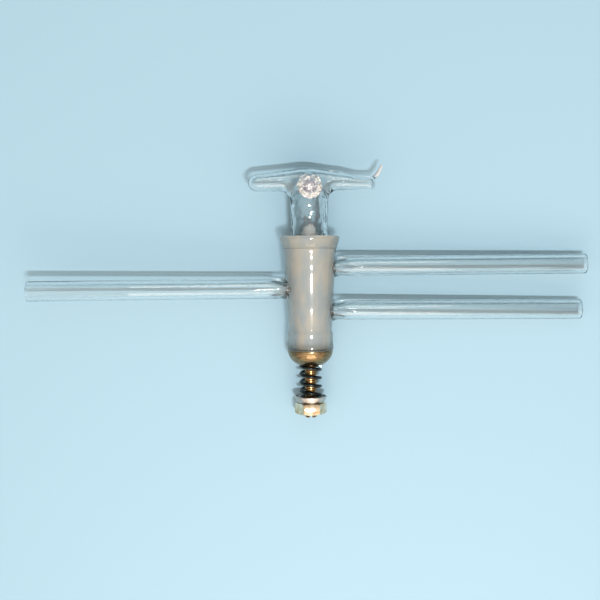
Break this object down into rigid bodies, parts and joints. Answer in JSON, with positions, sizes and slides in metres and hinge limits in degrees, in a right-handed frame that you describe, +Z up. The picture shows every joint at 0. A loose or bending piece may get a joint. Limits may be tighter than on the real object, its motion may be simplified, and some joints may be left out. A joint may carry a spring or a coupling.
{
  "type": "glass stopcock",
  "caption": "Blown-glass stopcock lying on its side: frosted tapered barrel with long side tubes, hollow T-handle key, and a brass stud, spring and nut that hold the key.",
  "frame": {"origin": "on the surface the part lies on, under the middle of its bounding box", "axes": "+X along the side tubes towards the parallel pair, +Y along the key towards its handle, +Z up"},
  "size_m": [0.2244, 0.1012, 0.0241],
  "materials": {
    "barrel_glass": "clear blown glass outside, ground bore that looks frosted through the wall",
    "key_glass": "clear blown glass, ground on the plug",
    "cement": "set cement, matt",
    "stud_brass": "turned brass, threaded, dulled",
    "cap_brass": "polished spun brass",
    "spring_steel": "dark drawn spring wire",
    "cup_nickel": "bright nickel plate",
    "nut_brass": "machined brass with worn bright plate"
  },
  "bodies": {
    "barrel": {"barrel": "barrel_glass", "dome_cap": "cap_brass"},
    "spring": {"spring": "spring_steel"},
    "key": {"key": "key_glass", "stud_cement": "cement", "stud": "stud_brass"},
    "spring_cup": {"spring_cup": "cup_nickel"},
    "clamp_nut": {"clamp_nut": "nut_brass"}
  },
  "joints": [
    {"name": "key_turn", "type": "hinge", "parent": "barrel", "child": "spring", "pos_m": [0.00005, 0.00141, 0.01081], "axis": [0, 0.998, 0.0631], "continuous": true},
    {"name": "key_lift", "type": "slide", "parent": "spring", "child": "key", "axis": [0, 0.998, 0.0631], "range_m": [0, 0.0015], "stiffness_N_per_m": 4000, "springref_m": -0.003, "deforming": ["spring"]},
    {"name": "nut_travel", "type": "slide", "parent": "key", "child": "spring_cup", "axis": [0, 0.998, 0.0631], "range_m": [-0.0012, 0.0032], "deforming": ["spring"]},
    {"name": "nut_turn", "type": "hinge", "parent": "spring_cup", "child": "clamp_nut", "pos_m": [0.00005, -0.0469, 0.00775], "axis": [0, 0.998, 0.0631], "range_deg": [-540.05, 1440.05]}
  ],
  "couplings": [
    {"joint": "nut_turn", "follows": "nut_travel", "rad_per_m": 7854}
  ]
}
